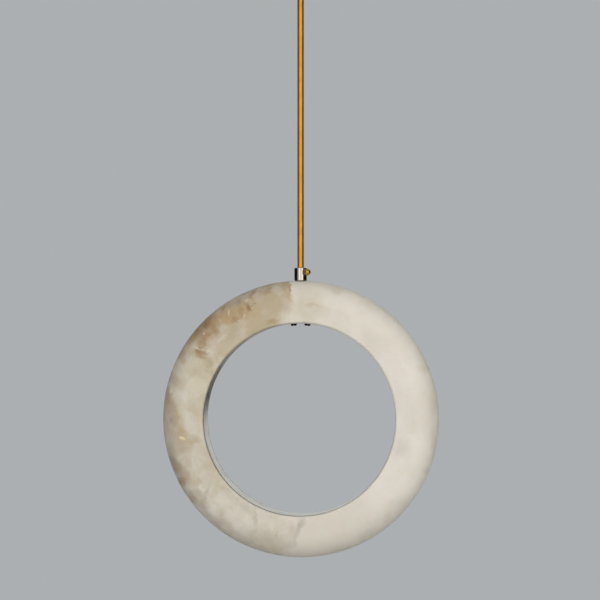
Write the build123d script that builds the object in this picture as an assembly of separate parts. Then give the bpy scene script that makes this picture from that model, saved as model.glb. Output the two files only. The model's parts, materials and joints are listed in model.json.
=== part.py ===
"""Ring pendant light: a turned alabaster ring hung from a ceiling rose on one textile cord.

Millimetres, +Z up. The origin is on the ceiling plane, at the middle of the crossbar. The ring's
own axis runs along Y and its front face looks to -Y.
"""
import os
from math import asin, cos, degrees, pi, radians, sin, sqrt

from build123d import *

# How far a cutting solid runs past the face it opens
overshoot = 3.0

# Alabaster ring
ring_outer_diameter = 300.0
ring_inner_diameter = 208.0
ring_depth = 50.0
ring_edge_radius = 2.5
stone_wall = 10.0
lip_width = 4.0
seat_sink = 1.0
seat_clearance = 0.5

# Metal hoop that closes the light channel, a hair proud of the stone, and its seals
hoop_thickness = 2.3
hoop_proud = 0.3
hoop_edge_radius = 0.5
hoop_side_gap = 3.0
seal_clearance = 0.1
hoop_back_gap = 0.1
hoop_joint_gap = 1.0
hoop_screw_spread = 15.0

# Light tape on the back of the hoop
tape_width = 10.0
tape_thickness = 0.4
tape_film = 0.1
tape_gap_angle = 28.0
led_length = 5.0
led_height = 1.5
led_pitch = 16.7
resistor_length = 3.0
resistor_width = 1.6
resistor_height = 0.6
resistor_chip_count = 3
solder_gap = 0.4

# Cord
cord_diameter = 7.0
cord_free_length = 301.0
cord_bend_length = 40.0
cord_pivot_stand_off = 4.0
cord_socket_clearance = 0.1
cord_swing_limit = 30.0
cord_swing_margin = 3.0
cord_tail_above_nipple = 8.0
cord_tail_below_nipple = 2.0

# Threaded tubes (M10 x 1), nuts and washers
cord_clearance = 1.0
nipple_wall = 0.95
thread_clearance = 0.1
hole_clearance = 0.6
nut_wall = 2.0
nut_height = 4.0
nut_chamfer = 0.6
thread_engagement = 6.0
thread_end = 1.5
washer_thickness = 1.0
washer_rim = 3.0

# Saddle and hanger bracket inside the ring
saddle_length = 27.0
saddle_width = 20.0
saddle_height = 5.0
bracket_thickness = 1.5
bracket_length = 31.0
bracket_width = 16.0
bracket_foot_thickness = 2.0
bracket_foot_gap = 4.0
bracket_lead_hole = 7.0

# Cord grips
grip_clearance = 0.8
grip_wall = 1.9
grip_height = 14.0
grip_edge = 0.5
grip_mouth_flare = 0.7

# Thumb screws of the grips
thumb_screw_angle = 45.0
thumb_screw_depth = 4.8
thumb_screw_diameter = 3.9
thumb_screw_hole = 4.0
thumb_screw_ball = 7.4
thumb_screw_neck = 4.6
thumb_screw_stand_off = 0.5
clamp_tip_diameter = 3.8
clamp_tip_length = 1.2
clamp_stem_diameter = 1.8
clamp_stem_length = 1.6
clamp_clearance = 0.1

# Ceiling rose
canopy_diameter = 110.0
canopy_height = 38.0
canopy_wall = 1.2
canopy_corner = 8.0
canopy_screw_drop = 9.0
canopy_screw_head = 8.0
canopy_screw_head_height = 4.5
canopy_screw_reach = 5.0
knurl_count = 18
knurl_diameter = 0.7
knurl_rim = 1.2
fastener_clearance = 0.2
tapped_clearance = 0.1
screw_slot = 0.8
crossbar_width = 20.0
crossbar_thickness = 2.0
crossbar_tab_width = 16.0
crossbar_tab_height = 16.0
crossbar_end_gap = 0.5
crossbar_slot_spacing = 66.0
crossbar_slot_length = 14.0
crossbar_slot_width = 5.0
earth_screw_offset = 17.0
earth_screw_diameter = 3.9
earth_screw_head = 7.0
earth_screw_head_height = 2.2
earth_lug_thickness = 0.8
earth_barrel_diameter = 3.6
earth_barrel_length = 5.0
earth_tongue_length = 8.0

# Driver and terminal block in the rose
driver_length = 60.0
driver_width = 26.0
driver_height = 18.0
driver_offset = 26.0
driver_wall = 1.5
driver_lid = 2.0
driver_corner = 2.0
driver_board_thickness = 1.6
driver_board_gap = 0.3
transformer_size = 16.0
transformer_height = 9.0
capacitor_diameter = 8.0
capacitor_height = 8.0
capacitor_offset = 16.0
foam_thickness = 1.0
foam_margin = 3.0
terminal_length = 30.0
terminal_width = 16.0
terminal_height = 12.0
terminal_offset = 28.0
terminal_corner = 1.0
terminal_ways = 3
terminal_pitch = 9.0
terminal_entry = 3.0
terminal_entry_height = 4.8
terminal_screw_diameter = 3.4
terminal_screw_sink = 1.0

# Wires
lead_diameter = 1.8
lead_spacing = 2.6
lead_arc = 5.0
lead_swing = 9.0
lead_tuck = 1.0
tape_lead_diameter = 1.5
tape_lead_spacing = 2.2

# Screws of the hoop
hoop_screw_diameter = 3.0
hoop_screw_head = 6.6
hoop_screw_head_height = 2.4
hoop_screw_round = 1.4

# Sizes that follow from what fits in what
nipple_bore = cord_diameter + cord_clearance
nipple_diameter = nipple_bore + 2 * nipple_wall
thread_diameter = nipple_diameter + thread_clearance
nipple_hole = nipple_diameter + hole_clearance
nut_across_flats = thread_diameter + 2 * nut_wall
grip_bore = cord_diameter + grip_clearance
grip_diameter = thread_diameter + 2 * grip_wall
seat_washer_diameter = grip_diameter - 2 * grip_edge

# Levels from the ceiling down
canopy_floor = -canopy_height + canopy_wall
upper_mouth = -canopy_height - grip_height
lower_mouth = upper_mouth - cord_free_length
ring_top = lower_mouth - grip_height
ring_centre = ring_top - ring_outer_diameter / 2
upper_pivot = upper_mouth - cord_pivot_stand_off
lower_pivot = lower_mouth + cord_pivot_stand_off
upper_joint = upper_pivot - cord_bend_length
lower_joint = lower_pivot + cord_bend_length

# Radii of the ring's own profile
outer_radius = ring_outer_diameter / 2
inner_radius = ring_inner_diameter / 2
nose_radius = ring_depth / 2
nose_centre = outer_radius - nose_radius
channel_nose_radius = nose_radius - stone_wall
channel_top = outer_radius - stone_wall
hoop_width = ring_depth - 2 * (lip_width + hoop_side_gap)
hoop_face = inner_radius - hoop_proud
hoop_back = hoop_face + hoop_thickness
rebate_radius = hoop_back + hoop_back_gap
tape_front = hoop_back + tape_film
tape_back = tape_front + tape_thickness
cord_radius = cord_diameter / 2

# Levels inside the top of the ring, from the ring's centre up
plate_top = channel_top - saddle_height
plate_under = plate_top - bracket_thickness
ring_nipple_end = plate_under - nut_height - thread_end
lower_tail_end = ring_nipple_end - cord_tail_below_nipple
foot_top = hoop_back + bracket_foot_thickness
tape_lead_level = (lower_tail_end + foot_top) / 2

# Levels in the rose
canopy_nipple_end = canopy_floor + washer_thickness + nut_height + thread_end
upper_tail_end = canopy_nipple_end + cord_tail_above_nipple
driver_floor = canopy_floor + foam_thickness
driver_top = driver_floor + driver_height
lead_entry = driver_floor + driver_height / 2
terminal_floor = canopy_floor + foam_thickness
terminal_top = terminal_floor + terminal_height
terminal_level = terminal_floor + terminal_entry_height
terminal_face = -terminal_offset + terminal_width / 2


def rod(diameter, low, high, x=0.0, y=0.0):
    """A round solid standing between two levels."""
    return Pos(x, y, (low + high) / 2) * Cylinder(diameter / 2, high - low)


def tube(outer, inner, low, high):
    """A round solid with a bore, standing between two levels."""
    return rod(outer, low, high) - rod(inner, low - overshoot, high + overshoot)


def block(x, y, z):
    """A box from three pairs of limits."""
    size = [high - low for low, high in (x, y, z)]
    middle = [(low + high) / 2 for low, high in (x, y, z)]
    return Pos(*middle) * Box(*size)


def hex_nut(low, high):
    """A plain hexagon nut on the threaded tube."""
    hexagon = RegularPolygon(nut_across_flats / 2, 6, major_radius=False)
    body = Pos(0, 0, low) * extrude(hexagon, high - low)
    body = body & chamfer(rod(nut_across_flats / cos(pi / 6), low, high).edges(), nut_chamfer)
    return body - rod(thread_diameter, low - overshoot, high + overshoot)


def ring_section(inner, outer, width):
    """A square-edged hoop section about the ring's axis."""
    section = Pos((inner + outer) / 2, 0) * Rectangle(outer - inner, width)
    return revolve(section, Axis.Y)


def round_nosed(inner, nose, radius):
    """A D-shaped section, turned about the ring's axis: flat inside, half round outside."""
    straight = Pos((inner + nose) / 2, 0) * Rectangle(nose - inner, 2 * radius)
    outer_half = Pos(nose + radius / 2, 0) * Rectangle(radius, 2 * radius)
    return revolve(straight + (Pos(nose, 0) * Circle(radius) & outer_half), Axis.Y)


def on_ring(shape):
    """Moves a shape from the ring's centre to where the ring hangs."""
    return Pos(0, 0, ring_centre) * shape


def at_ring_angle(angle):
    """A place on the ring: its local +Z points outwards, at an angle from the top."""
    return Rot(0, angle, 0)


def wire(points, radii, diameter):
    """A wire along straight runs joined by arcs. Prints its length and its tightest arc."""
    path = FilletPolyline(*points, radius=radii)
    start = Plane(origin=path @ 0, z_dir=path % 0)
    solid = sweep(start * Circle(diameter / 2), path=path)
    error = solid.volume / (pi * diameter**2 / 4 * path.length) - 1
    print(f"wire: {path.length:.1f} mm long, tightest arc {min(radii):.1f} mm, volume off {error:.1e}")
    return solid


# The stone ring and what is set in it
def make_alabaster_ring():
    """Stone ring with its light channel, the rebate of the hoop and the seat of the cord grip."""
    stone = round_nosed(inner_radius, nose_centre, nose_radius)
    rims = stone.edges().filter_by(GeomType.CIRCLE).filter_by(lambda e: abs(e.radius - inner_radius) < 0.01)
    stone = fillet(rims, ring_edge_radius)
    stone -= ring_section(inner_radius - overshoot, rebate_radius, ring_depth - 2 * lip_width)
    stone -= round_nosed(inner_radius - overshoot, nose_centre, channel_nose_radius)
    seat = rod(grip_diameter + 2 * seat_clearance, outer_radius - seat_sink, outer_radius + overshoot)
    stone -= seat + rod(nipple_hole, nose_centre, outer_radius + overshoot)
    return on_ring(stone)


def hoop_screw_places():
    """Angles of the two hoop screws, either side of the hoop's joint at the top."""
    angle = degrees(asin(hoop_screw_spread / 2 / hoop_face))
    return [at_ring_angle(side * angle) for side in (-1, 1)]


def make_inner_hoop():
    """Metal hoop lining the ring, with a butt joint at the top and two screw holes."""
    hoop = ring_section(hoop_face, hoop_back, hoop_width)
    rims = hoop.edges().filter_by(GeomType.CIRCLE).filter_by(lambda e: abs(e.radius - hoop_face) < 0.01)
    hoop = fillet(rims, hoop_edge_radius)
    hoop -= block((-hoop_joint_gap / 2, hoop_joint_gap / 2), (-ring_depth, ring_depth), (0, outer_radius))
    for place in hoop_screw_places():
        hoop -= place * rod(hoop_screw_diameter + 2 * fastener_clearance, nose_centre / 2, nose_centre)
    return on_ring(hoop)


def make_hoop_seals():
    """Two black seals that fill the joints between the hoop's sides and the stone."""
    inside = hoop_width / 2 + seal_clearance
    outside = ring_depth / 2 - lip_width - seal_clearance
    seal = ring_section(inner_radius, rebate_radius - seal_clearance, outside - inside)
    middle = (inside + outside) / 2
    return Compound(children=[on_ring(Pos(0, side * middle, 0) * seal) for side in (-1, 1)])


def make_hoop_screws():
    """Two round-headed screws that hold the ends of the hoop to the bracket."""
    screws = []
    seat = sqrt(hoop_face**2 - (hoop_screw_head / 2) ** 2) - hoop_back_gap / 2
    low = seat - hoop_screw_head_height
    for place in hoop_screw_places():
        head = rod(hoop_screw_head, low, seat)
        head = fillet(head.edges().sort_by(Axis.Z)[0], hoop_screw_round)
        slot = (-screw_slot / 2, screw_slot / 2), (-hoop_screw_head, hoop_screw_head)
        head -= block(*slot, (low - screw_slot, low + screw_slot))
        shank = rod(hoop_screw_diameter, seat, foot_top + thread_end / 2)
        screws.append(on_ring(place * (head + shank)))
    return Compound(children=screws)


def make_hanger_bracket():
    """Folded steel bracket: top plate under the saddle, two legs and two feet on the hoop."""
    half_length = bracket_length / 2
    half_width = bracket_width / 2
    inside = half_length - bracket_thickness
    length, width = (-half_length, half_length), (-half_width, half_width)
    outline = block(length, width, (0, plate_top))
    hollow = block((-inside, inside), (-bracket_width, bracket_width), (0, plate_under))
    legs = outline - hollow - ring_section(0, hoop_back, ring_depth)
    foot = ring_section(hoop_back, foot_top, bracket_width) & block(length, width, (0, outer_radius))
    half_gap = bracket_foot_gap / 2
    foot -= block((-half_gap, half_gap), (-bracket_width, bracket_width), (0, outer_radius))
    bracket = legs + foot - rod(nipple_hole, lower_tail_end, outer_radius)
    for place in hoop_screw_places():
        bracket -= place * rod(hoop_screw_diameter + tapped_clearance, 0, foot_top + thread_end)
    across = Pos(half_length, 0, tape_lead_level) * Rot(0, 90, 0)
    return on_ring(bracket - across * Cylinder(bracket_lead_hole / 2, 4 * bracket_thickness))


def make_saddle_washer():
    """Spreader whose top follows the roof of the light channel."""
    roof = round_nosed(inner_radius, nose_centre, channel_nose_radius - hoop_back_gap)
    half_length = saddle_length / 2
    half_width = saddle_width / 2
    slab = block((-half_length, half_length), (-half_width, half_width), (plate_top, outer_radius))
    return on_ring((slab & roof) - rod(nipple_hole, nose_centre, outer_radius))


def tape_angles(pitch):
    """Angles of pieces spaced evenly along the tape, which leaves a gap at the bracket."""
    span = 360 - tape_gap_angle
    count = int(radians(span) * tape_back / pitch)
    first = tape_gap_angle / 2
    return [first + (i + 0.5) * span / count for i in range(count)]


def make_led_tape():
    """Flexible circuit strip round the back of the hoop, open at the top."""
    tape = ring_section(tape_front, tape_back, tape_width)
    half_gap = tape_back * sin(radians(tape_gap_angle / 2))
    return on_ring(tape - block((-half_gap, half_gap), (-ring_depth, ring_depth), (0, outer_radius)))


def make_led_chips():
    """Square light-emitting chips, evenly spaced along the tape."""
    chip = Pos(0, 0, tape_back + led_height / 2) * Box(led_length, led_length, led_height)
    return Compound(children=[on_ring(at_ring_angle(a) * chip) for a in tape_angles(led_pitch)])


def make_tape_resistors():
    """Small resistors, one between every few pairs of chips."""
    angles = tape_angles(led_pitch)
    half_step = (angles[1] - angles[0]) / 2
    resistor = Box(resistor_width, resistor_length, resistor_height)
    resistor = Pos(0, 0, tape_back + resistor_height / 2) * resistor
    places = [at_ring_angle(angle + half_step) for angle in angles[1:-1:resistor_chip_count]]
    return Compound(children=[on_ring(place * resistor) for place in places])


def make_tape_leads():
    """Two wires from the end of the cord, out through the bracket's leg and down to the tape."""
    landing = radians(tape_gap_angle / 2) + tape_lead_diameter / tape_back
    x = tape_back * sin(landing)
    low = tape_back * cos(landing) + solder_gap
    arcs = [0.8 * (lower_tail_end - tape_lead_level), 0.8 * (tape_lead_level - low)]
    leads = []
    for side in (-1, 1):
        y = side * tape_lead_spacing / 2
        points = [(0, y, lower_tail_end), (0, y, tape_lead_level), (x, y, tape_lead_level), (x, y, low)]
        leads.append(on_ring(wire(points, arcs, tape_lead_diameter)))
    return Compound(children=leads)


# Cord grips, their screws and threaded tubes
def make_grip(mouth, way):
    """Cord grip: cord bore and flared mouth at one end, M10 socket at the other."""
    outer, edge = grip_diameter / 2, grip_edge
    bore, socket, flare = grip_bore / 2, thread_diameter / 2, grip_mouth_flare
    shoulder = grip_height - thread_engagement - thread_clearance
    profile = [
        (bore + flare, 0),
        (outer - edge, 0),
        (outer, edge),
        (outer, grip_height - edge),
        (outer - edge, grip_height),
        (socket, grip_height),
        (socket, shoulder),
        (bore, shoulder),
        (bore, flare),
    ]
    section = make_face(Polyline(*[(r, mouth + way * h) for r, h in profile], close=True))
    body = revolve(Plane.XZ * section, Axis.Z)
    return body - thumb_screw_place(mouth, way) * rod(thumb_screw_hole, cord_radius, outer + overshoot)


def thumb_screw_place(mouth, way):
    """Where a thumb screw sits: local +Z runs outwards along the screw from the cord's centre."""
    angle = radians(thumb_screw_angle)
    outwards = (sin(angle), -cos(angle), 0)
    return Plane(origin=(0, 0, mouth + way * thumb_screw_depth), z_dir=outwards).location


def make_clamp_tip(mouth, way):
    """Nylon tip that the thumb screw presses against the cord."""
    nose = cord_radius + clamp_clearance
    tip = rod(clamp_tip_diameter, nose, nose + clamp_tip_length)
    tip += rod(clamp_stem_diameter, nose, nose + clamp_tip_length + clamp_stem_length)
    return thumb_screw_place(mouth, way) * tip


def make_thumb_screw(mouth, way):
    """Brass thumb screw with a ball head and a socket in its nose for the nylon tip."""
    nose = cord_radius + clamp_clearance + clamp_tip_length + clamp_clearance / 2
    neck = grip_diameter / 2 + thumb_screw_stand_off
    ball = neck + thumb_screw_ball / 2
    screw = rod(thumb_screw_diameter, nose, ball) + rod(thumb_screw_neck, neck, ball)
    screw += Pos(0, 0, ball) * Sphere(thumb_screw_ball / 2)
    screw -= rod(clamp_stem_diameter + clamp_clearance, 0, nose + clamp_stem_length + clamp_clearance)
    return thumb_screw_place(mouth, way) * screw


def make_canopy_nipple():
    """Threaded tube from the upper grip up through the floor of the rose."""
    return tube(nipple_diameter, nipple_bore, -canopy_height - thread_engagement, canopy_nipple_end)


def make_ring_nipple():
    """Threaded tube from the lower grip down through the stone, saddle and bracket."""
    low = ring_centre + ring_nipple_end
    return tube(nipple_diameter, nipple_bore, low, ring_top + thread_engagement)


def make_ring_lock_nut():
    """Nut under the bracket that carries the ring."""
    return on_ring(hex_nut(plate_under - nut_height, plate_under))


# The cord
def cord_piece(low, high, dished_top, ball_foot):
    """One stretch of cord. A ball foot turns in the dished top of the stretch below it."""
    socket_radius = cord_radius + cord_socket_clearance
    cut = socket_radius * sin(radians(cord_swing_limit + cord_swing_margin))
    piece = rod(cord_diameter, low, high - cut if dished_top else high)
    if ball_foot:
        piece += Pos(0, 0, low) * Sphere(cord_radius)
    if dished_top:
        piece -= Pos(0, 0, high) * Sphere(socket_radius)
    return piece


def make_upper_tail():
    """Cord end held in the rose, through the upper grip to the first bend."""
    return cord_piece(upper_pivot, upper_tail_end, False, True)


def make_lower_tail():
    """Cord end held by the lower grip, down to the end of the ring's threaded tube."""
    return cord_piece(ring_centre + lower_tail_end, lower_pivot, True, False)


# The ceiling rose and what is in it
def make_canopy():
    """Spun metal cup, open to the ceiling, with a hole in its floor and two in its wall."""
    outer = rod(canopy_diameter, -canopy_height, 0)
    outer = fillet(outer.edges().sort_by(Axis.Z)[0], canopy_corner)
    inner = rod(canopy_diameter - 2 * canopy_wall, canopy_floor, canopy_height)
    inner = fillet(inner.edges().sort_by(Axis.Z)[0], canopy_corner - canopy_wall)
    floor_hole = rod(thread_diameter + 2 * fastener_clearance, -canopy_height - overshoot, 0)
    wall_holes = canopy_screw_hole(thumb_screw_hole + 2 * fastener_clearance)
    return outer - inner - floor_hole - wall_holes


def canopy_screw_hole(diameter):
    """A bore right across the rose at the level of its side screws."""
    bore = Cylinder(diameter / 2, canopy_diameter + 2 * overshoot)
    return Pos(0, 0, -canopy_screw_drop) * Rot(0, 90, 0) * bore


def tab_face():
    """Distance of the crossbar tabs' outer faces from the middle of the rose."""
    inner = canopy_diameter / 2 - canopy_wall
    return sqrt(inner**2 - (crossbar_width / 2) ** 2) - crossbar_end_gap


def make_crossbar():
    """Slotted steel strap that is screwed to the ceiling, with two tapped tabs for the rose."""
    end = tab_face()
    width = (-crossbar_width / 2, crossbar_width / 2)
    tab_width = (-crossbar_tab_width / 2, crossbar_tab_width / 2)
    bar = block((-end, end), width, (-crossbar_thickness, 0))
    for side in (-1, 1):
        near, far = sorted((side * end, side * (end - crossbar_thickness)))
        bar += block((near, far), tab_width, (-crossbar_tab_height, 0))
        slot = SlotOverall(crossbar_slot_length, crossbar_slot_width)
        place = Pos(side * crossbar_slot_spacing / 2, 0, -crossbar_thickness - overshoot)
        bar -= place * extrude(slot, crossbar_thickness + 2 * overshoot)
    bar -= rod(thread_diameter, -crossbar_thickness - overshoot, overshoot)
    earth_hole = earth_screw_diameter + tapped_clearance
    bar -= rod(earth_hole, -crossbar_thickness - overshoot, overshoot, x=-earth_screw_offset)
    return bar - canopy_screw_hole(thumb_screw_hole)


def make_canopy_screws():
    """Two knob screws that hold the rose to the crossbar's tabs."""
    screws = []
    seat = canopy_diameter / 2 + fastener_clearance
    for side in (0, 180):
        knob = rod(canopy_screw_head, seat, seat + canopy_screw_head_height)
        knob = fillet(knob.edges().sort_by(Axis.Z)[-1], knurl_rim)
        groove = rod(knurl_diameter, seat - overshoot, seat + canopy_screw_head_height - knurl_rim)
        for i in range(knurl_count):
            knob -= Rot(0, 0, i * 360 / knurl_count) * Pos(canopy_screw_head / 2, 0) * groove
        shank = rod(thumb_screw_diameter, tab_face() - canopy_screw_reach, seat)
        screws.append(Pos(0, 0, -canopy_screw_drop) * Rot(0, 0, side) * Rot(0, 90, 0) * (knob + shank))
    return Compound(children=screws)


def make_canopy_washer():
    """Flat washer under the rose's lock nut."""
    bore = thread_diameter + 2 * fastener_clearance
    return tube(bore + 2 * washer_rim, bore, canopy_floor, canopy_floor + washer_thickness)


def make_canopy_lock_nut():
    """Nut that holds the threaded tube to the floor of the rose."""
    low = canopy_floor + washer_thickness
    return hex_nut(low, low + nut_height)


def make_seat_washer():
    """Fibre washer between the lower grip and its seat in the stone."""
    return tube(seat_washer_diameter, nipple_hole, ring_top - seat_sink, ring_top)


def driver_limits(shrink=0.0):
    """Limits of the driver along X and Y, drawn in by a wall."""
    half_length = driver_length / 2 - shrink
    half_width = driver_width / 2 - shrink
    return (-half_length, half_length), (driver_offset - half_width, driver_offset + half_width)


def make_driver_case():
    """Open tray of the LED driver, with wire holes in both ends."""
    case = block(*driver_limits(), (driver_floor, driver_top - driver_lid))
    case = fillet(case.edges().filter_by(Axis.Z), driver_corner)
    case -= block(*driver_limits(driver_wall), (driver_floor + driver_wall, driver_top))
    hole = Cylinder((lead_spacing + lead_diameter) / 2 + fastener_clearance, driver_length + 2 * overshoot)
    return case - Pos(0, driver_offset, lead_entry) * Rot(0, 90, 0) * hole


def make_driver_lid():
    """Lid of the LED driver."""
    lid = block(*driver_limits(), (driver_top - driver_lid, driver_top))
    return fillet(lid.edges().filter_by(Axis.Z), driver_corner)


def make_driver_board():
    """Circuit board of the LED driver, with its transformer and its capacitor."""
    low = driver_floor + driver_wall
    top = low + driver_board_thickness
    board = block(*driver_limits(driver_wall + driver_board_gap), (low, top))
    half = transformer_size / 2
    middle = (driver_offset - half, driver_offset + half)
    board += block((-half, half), middle, (top, top + transformer_height))
    return board + rod(capacitor_diameter, top, top + capacitor_height, -capacitor_offset, driver_offset)


def make_foam_pad(x, y):
    """Double-sided foam tape under a unit in the rose."""
    return block(x, y, (canopy_floor, canopy_floor + foam_thickness))


def terminal_limits():
    """Limits of the terminal block along X and Y."""
    half_length = terminal_length / 2
    half_width = terminal_width / 2
    return (-half_length, half_length), (-terminal_offset - half_width, -terminal_offset + half_width)


def terminal_ways_x():
    """Where the ways of the terminal block lie along X."""
    middle = (terminal_ways - 1) / 2
    return [(i - middle) * terminal_pitch for i in range(terminal_ways)]


def make_terminal_block():
    """Plastic terminal block with a wire bore and two screw wells in each way."""
    body = block(*terminal_limits(), (terminal_floor, terminal_top))
    body = fillet(body.edges().filter_by(Axis.Z), terminal_corner)
    for x in terminal_ways_x():
        bore = Pos(x, -terminal_offset, terminal_level) * Rot(90, 0, 0)
        body -= bore * Cylinder(terminal_entry / 2, terminal_width + 2 * overshoot)
        for y in terminal_screw_rows():
            well = terminal_screw_diameter + 2 * fastener_clearance
            body -= rod(well, terminal_level, terminal_top + overshoot, x, y)
    return body


def terminal_screw_rows():
    """Where the two rows of terminal screws lie along Y."""
    return [-terminal_offset + side * terminal_width / 4 for side in (-1, 1)]


def make_terminal_screws():
    """Small slotted screws of the terminal block."""
    screws = []
    low = terminal_level + terminal_entry / 2 + fastener_clearance
    high = terminal_top - terminal_screw_sink
    for x in terminal_ways_x():
        for y in terminal_screw_rows():
            screw = rod(terminal_screw_diameter, low, high, x, y)
            across = (x - terminal_screw_diameter, x + terminal_screw_diameter)
            along = (y - screw_slot / 2, y + screw_slot / 2)
            screws.append(screw - block(across, along, (high - screw_slot, high + screw_slot)))
    return Compound(children=screws)


def make_earth_screw():
    """Screw that holds the earth lug to the crossbar."""
    x = -earth_screw_offset
    under = -crossbar_thickness - earth_lug_thickness
    low = under - earth_screw_head_height
    head = rod(earth_screw_head, low, under, x=x)
    head = fillet(head.edges().sort_by(Axis.Z)[0], earth_screw_head_height / 3)
    across = (x - earth_screw_head, x + earth_screw_head)
    head -= block(across, (-screw_slot / 2, screw_slot / 2), (low - screw_slot, low + screw_slot))
    return head + rod(earth_screw_diameter, under, -fastener_clearance, x=x)


def make_earth_lug():
    """Ring lug of the earth lead."""
    x, under = -earth_screw_offset, -crossbar_thickness
    sheet = (under - earth_lug_thickness, under)
    lug = rod(earth_screw_head + 1, *sheet, x=x)
    half_barrel = earth_barrel_diameter / 2
    lug += block((x - half_barrel, x + half_barrel), (-earth_tongue_length, 0), sheet)
    middle = Pos(x, -earth_tongue_length - earth_barrel_length / 2, earth_barrel_level())
    lug += middle * Rot(90, 0, 0) * Cylinder(half_barrel, earth_barrel_length)
    return lug - rod(earth_screw_diameter + fastener_clearance, under - overshoot, under + overshoot, x=x)


def earth_barrel_level():
    """Level of the axis of the earth lug's barrel, which hangs from the tongue."""
    return -crossbar_thickness - earth_barrel_diameter / 2


def make_mains_leads():
    """Live and neutral wires from the terminal block round to the driver."""
    side = driver_length / 2 + lead_swing
    end = driver_length / 2 - lead_tuck
    start = terminal_face - 2 * lead_tuck
    leads = []
    for i, x in enumerate(terminal_ways_x()[-2:]):
        rise = lead_entry + (i - 0.5) * lead_spacing
        turn = terminal_face + lead_arc - i * lead_spacing
        points = [
            (x, start, terminal_level),
            (x, turn, terminal_level),
            (side - lead_swing, turn, rise),
            (side, turn + lead_swing, rise),
            (side, driver_offset, rise),
            (end, driver_offset, rise),
        ]
        leads.append(wire(points, [0.7 * lead_arc, lead_arc, lead_arc, lead_arc], lead_diameter))
    return Compound(children=leads)


def make_output_leads():
    """Two wires from the driver's low-voltage end to the cord."""
    side = driver_length / 2 + lead_swing
    end = driver_length / 2 - lead_tuck
    top = upper_tail_end + lead_swing
    leads = []
    for lane in (-lead_spacing / 2, lead_spacing / 2):
        points = [
            (0, lane, upper_tail_end),
            (0, lane, top),
            (-side, lane + lead_swing, top),
            (-side, driver_offset, lead_entry + lane),
            (-end, driver_offset, lead_entry + lane),
        ]
        leads.append(wire(points, [lead_arc, lead_arc, lead_arc], lead_diameter))
    return Compound(children=leads)


def make_earth_lead():
    """Earth wire from the terminal block up to the lug on the crossbar."""
    x = terminal_ways_x()[0]
    start = terminal_face - 2 * lead_tuck
    lug_x, lug_z = -earth_screw_offset, earth_barrel_level()
    lug_y = -earth_tongue_length - earth_barrel_length
    points = [
        (x, start, terminal_level),
        (x, terminal_face + lead_arc, terminal_level),
        (lug_x - lead_swing, terminal_face + lead_arc, terminal_level + lead_swing),
        (lug_x - lead_arc, terminal_face - lead_arc, lug_z - lead_diameter),
        (lug_x, lug_y - 1.6 * lead_arc, lug_z),
        (lug_x, lug_y, lug_z),
    ]
    return wire(points, [0.7 * lead_arc, lead_arc, 0.8 * lead_arc, 0.6 * lead_arc], lead_diameter)


parts = {
    "crossbar": make_crossbar(),
    "canopy": make_canopy(),
    "canopy_screws": make_canopy_screws(),
    "canopy_nipple": make_canopy_nipple(),
    "canopy_washer": make_canopy_washer(),
    "canopy_lock_nut": make_canopy_lock_nut(),
    "driver_case": make_driver_case(),
    "driver_lid": make_driver_lid(),
    "driver_board": make_driver_board(),
    "driver_foam_pad": make_foam_pad(*driver_limits(foam_margin)),
    "terminal_block": make_terminal_block(),
    "terminal_screws": make_terminal_screws(),
    "terminal_foam_pad": make_foam_pad(*terminal_limits()),
    "earth_screw": make_earth_screw(),
    "earth_lug": make_earth_lug(),
    "earth_lead": make_earth_lead(),
    "mains_leads": make_mains_leads(),
    "output_leads": make_output_leads(),
    "upper_grip": make_grip(upper_mouth, 1),
    "upper_clamp_tip": make_clamp_tip(upper_mouth, 1),
    "upper_thumb_screw": make_thumb_screw(upper_mouth, 1),
    "cord_upper_tail": make_upper_tail(),
    "cord_upper_bend": cord_piece(upper_joint, upper_pivot, True, True),
    "cord_drop": cord_piece(lower_joint, upper_joint, True, True),
    "cord_lower_bend": cord_piece(lower_pivot, lower_joint, True, True),
    "cord_lower_tail": make_lower_tail(),
    "lower_grip": make_grip(lower_mouth, -1),
    "lower_clamp_tip": make_clamp_tip(lower_mouth, -1),
    "lower_thumb_screw": make_thumb_screw(lower_mouth, -1),
    "ring_nipple": make_ring_nipple(),
    "ring_lock_nut": make_ring_lock_nut(),
    "seat_washer": make_seat_washer(),
    "alabaster_ring": make_alabaster_ring(),
    "saddle_washer": make_saddle_washer(),
    "hanger_bracket": make_hanger_bracket(),
    "inner_hoop": make_inner_hoop(),
    "hoop_seals": make_hoop_seals(),
    "hoop_screws": make_hoop_screws(),
    "led_tape": make_led_tape(),
    "led_chips": make_led_chips(),
    "tape_resistors": make_tape_resistors(),
    "tape_leads": make_tape_leads(),
}

print(f"free cord: {cord_free_length:.0f} mm, straight, {cord_diameter:.0f} mm thick")
os.makedirs("parts", exist_ok=True)
for name, solid in parts.items():
    export_step(solid, f"parts/{name}.step")
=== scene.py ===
"""Alabaster ring pendant light, dressed for a plain studio picture.

Metres, +Z up, in the model's own frame: the ceiling plane is z = 0, the ring's axis runs along Y and
its front looks to -Y.
"""

import json
import logging
import math
from dataclasses import dataclass
from enum import Enum

import bmesh
import bpy
from mathutils import Matrix, Vector


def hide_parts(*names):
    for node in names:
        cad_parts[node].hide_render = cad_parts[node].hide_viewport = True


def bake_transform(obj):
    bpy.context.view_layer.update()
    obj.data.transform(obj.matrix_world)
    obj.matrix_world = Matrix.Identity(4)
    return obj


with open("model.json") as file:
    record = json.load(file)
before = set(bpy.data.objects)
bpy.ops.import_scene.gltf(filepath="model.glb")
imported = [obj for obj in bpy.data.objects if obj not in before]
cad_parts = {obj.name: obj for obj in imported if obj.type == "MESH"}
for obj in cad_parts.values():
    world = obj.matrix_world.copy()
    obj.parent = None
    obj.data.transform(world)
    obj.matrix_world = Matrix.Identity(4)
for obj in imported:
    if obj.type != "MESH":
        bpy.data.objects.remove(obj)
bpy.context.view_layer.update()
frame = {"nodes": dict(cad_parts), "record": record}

log = logging.getLogger("pendant")

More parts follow.
